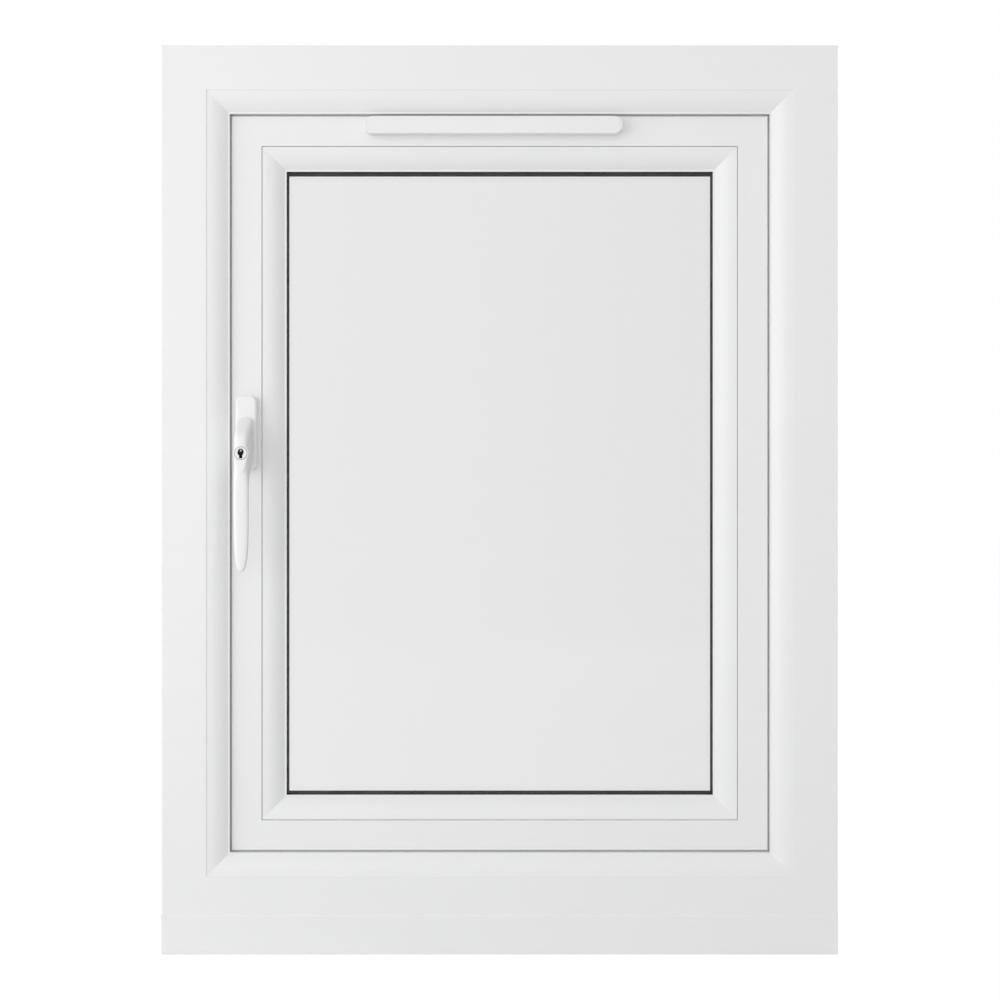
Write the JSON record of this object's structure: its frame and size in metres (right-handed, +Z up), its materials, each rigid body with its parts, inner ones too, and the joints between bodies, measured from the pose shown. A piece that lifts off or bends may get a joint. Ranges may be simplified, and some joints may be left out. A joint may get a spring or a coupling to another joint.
{
  "type": "side-hung window",
  "caption": "White side-hung casement window: frame with cill, outward-opening glazed sash, locking lever handle on the left stile and a trickle vent on the top rail.",
  "frame": {"origin": "centre of the cill's underside below the middle of the frame's depth", "axes": "+X to the right seen from the room, +Y outwards through the wall, +Z up; the room side with the handle faces -Y"},
  "size_m": [0.61, 0.1802, 0.82],
  "materials": {
    "upvc_white": "satin",
    "gasket_black": "matte",
    "clear_glass": "polished",
    "spacer_black": "matte",
    "seal_black": "matte",
    "block_plastic": "matte",
    "handle_white": "gloss",
    "lock_metal": "polished",
    "hardware_steel": "satin",
    "vent_white": "satin"
  },
  "bodies": {
    "window": {"frame_head": "upvc_white", "frame_left_jamb": "upvc_white", "frame_right_jamb": "upvc_white", "frame_bottom_rail": "upvc_white", "frame_gasket": "gasket_black", "cill": "upvc_white", "cill_end_cap_left": "upvc_white", "cill_end_cap_right": "upvc_white", "drainage_caps": "upvc_white", "sash_top_rail": "upvc_white", "sash_bottom_rail": "upvc_white", "sash_lock_stile": "upvc_white", "sash_hinge_stile": "upvc_white", "sash_gasket": "gasket_black", "bead_top": "upvc_white", "bead_bottom": "upvc_white", "bead_left": "upvc_white", "bead_right": "upvc_white", "inner_glazing_gasket": "gasket_black", "outer_glazing_gasket": "gasket_black", "inner_pane": "clear_glass", "outer_pane": "clear_glass", "spacer_bar": "spacer_black", "edge_seal": "seal_black", "setting_blocks": "block_plastic", "handle_backplate": "handle_white", "vent_cover": "vent_white", "vent_canopy": "vent_white", "lock_gear": "hardware_steel", "lock_keeps": "hardware_steel", "friction_stay_top": "hardware_steel", "friction_stay_bottom": "hardware_steel"},
    "handle": {"handle_lever": "handle_white", "handle_lock_cylinder": "lock_metal", "handle_spindle": "hardware_steel"}
  },
  "joints": [
    {"name": "handle_turn", "type": "hinge", "parent": "window", "child": "handle", "pos_m": [-0.2294, -0.0321, 0.4705], "axis": [0, -1, 0], "range_deg": [0, 90]}
  ]
}
